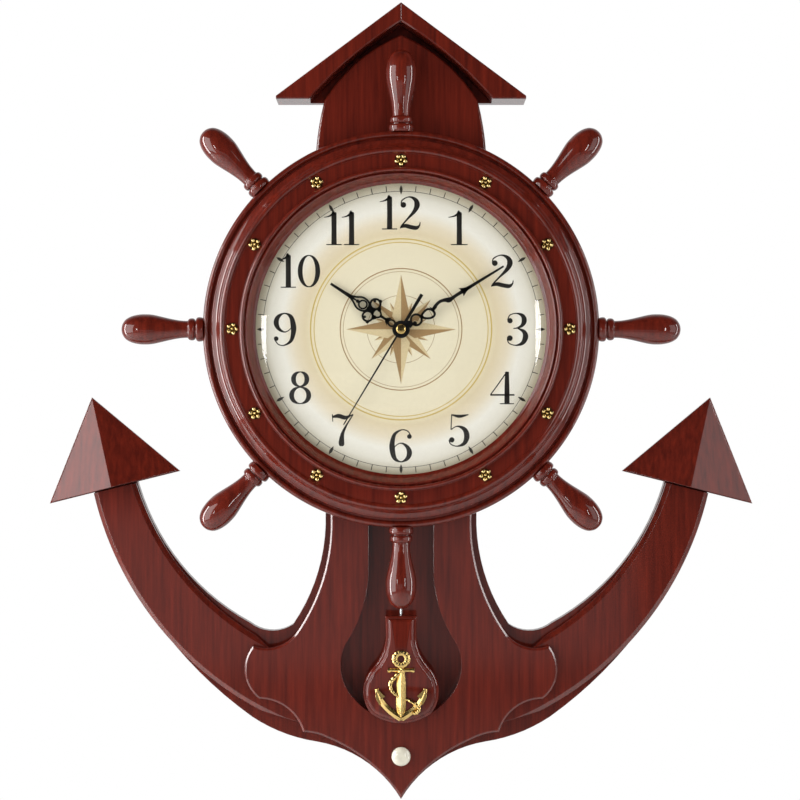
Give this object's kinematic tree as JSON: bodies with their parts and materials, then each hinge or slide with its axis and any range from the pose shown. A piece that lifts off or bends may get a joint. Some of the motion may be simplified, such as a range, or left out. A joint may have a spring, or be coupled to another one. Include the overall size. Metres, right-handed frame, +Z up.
{
  "type": "wall clock",
  "caption": "Lacquered wooden wall clock shaped like an anchor, with a ship's wheel round its domed dial, a gabled head and a swinging bell-shaped pendulum bob in a keyhole recess",
  "frame": {"origin": "centre of the round hole of the hanger plate, on the wall plane at the back of the clock", "axes": "+Z up, +X to the right as seen from the front, +Y into the wall; the dial faces -Y"},
  "size_m": [0.6106, 0.0615, 0.6886],
  "materials": {
    "mahogany": "high-gloss red-brown lacquer over fine straight grain",
    "brass": "polished",
    "dial_print": "printed satin card with numerals and a compass rose",
    "dial_board": "plain fibreboard",
    "glass": "clear, domed",
    "porcelain": "glossy white glaze",
    "black_metal": "gloss black",
    "steel": "bright zinc",
    "movement_plastic": "black moulded",
    "gear_plastic": "natural acetal",
    "battery_skin": "plain blue sleeve",
    "circuit": "green laminate",
    "copper_wire": "enamelled winding",
    "rubber": "matt"
  },
  "bodies": {
    "case": {"back_board": "mahogany", "shank_panel": "mahogany", "centre_plate": "mahogany", "arm_board_left": "mahogany", "arm_board_right": "mahogany", "roof_left": "mahogany", "roof_right": "mahogany", "fluke_left": "mahogany", "fluke_right": "mahogany", "wheel_rim": "mahogany", "wheel_handles": "mahogany", "rim_studs": "brass", "bush_nut": "brass", "dial_plate": "dial_print", "dial_board": "dial_board", "dial_spacer_ring": "dial_board", "dial_standoffs": "dial_board", "dial_glass": "glass", "porcelain_knob": "porcelain", "dial_screws": "steel", "rim_screws": "steel", "hanger_plate": "steel", "hanger_screws": "steel", "porcelain_knob_stud": "steel", "pendulum_pivot": "steel", "battery_contacts": "steel", "movement_case": "movement_plastic", "movement_lid": "movement_plastic", "battery": "battery_skin", "circuit_board": "circuit", "drive_coil": "copper_wire", "pendulum_coil": "copper_wire", "bush_washer": "rubber"},
    "minute_train": {"minute_arbor": "gear_plastic", "minute_hand": "black_metal"},
    "idler_train": {"idler_wheel": "gear_plastic", "set_knob": "gear_plastic"},
    "hour_train": {"hour_wheel": "gear_plastic", "hour_hand": "black_metal"},
    "second_train": {"second_arbor": "gear_plastic", "second_hand": "black_metal", "second_hand_cap": "brass"},
    "pendulum": {"pendulum_hanger": "movement_plastic", "pendulum_magnet": "steel", "pendulum_rod": "steel", "bob_block": "mahogany", "pendulum_bob": "mahogany", "bob_emblem": "brass"}
  },
  "joints": [
    {"name": "minute_hand_spin", "type": "hinge", "parent": "case", "child": "minute_train", "pos_m": [0, 0, -0.215], "axis": [0, 1, 0], "continuous": true},
    {"name": "idler_spin", "type": "hinge", "parent": "case", "child": "idler_train", "pos_m": [-0.012, 0, -0.215], "axis": [0, 1, 0], "continuous": true},
    {"name": "hour_hand_spin", "type": "hinge", "parent": "case", "child": "hour_train", "pos_m": [0, 0, -0.215], "axis": [0, 1, 0], "continuous": true},
    {"name": "second_hand_spin", "type": "hinge", "parent": "case", "child": "second_train", "pos_m": [0, 0, -0.215], "axis": [0, 1, 0], "continuous": true},
    {"name": "pendulum_swing", "type": "hinge", "parent": "case", "child": "pendulum", "pos_m": [0, 0, -0.245], "axis": [0, 1, 0], "range_deg": [-5, 5]}
  ],
  "couplings": [
    {"joint": "idler_spin", "follows": "minute_hand_spin", "ratio": -0.33333},
    {"joint": "hour_hand_spin", "follows": "minute_hand_spin", "ratio": 0.083333}
  ]
}
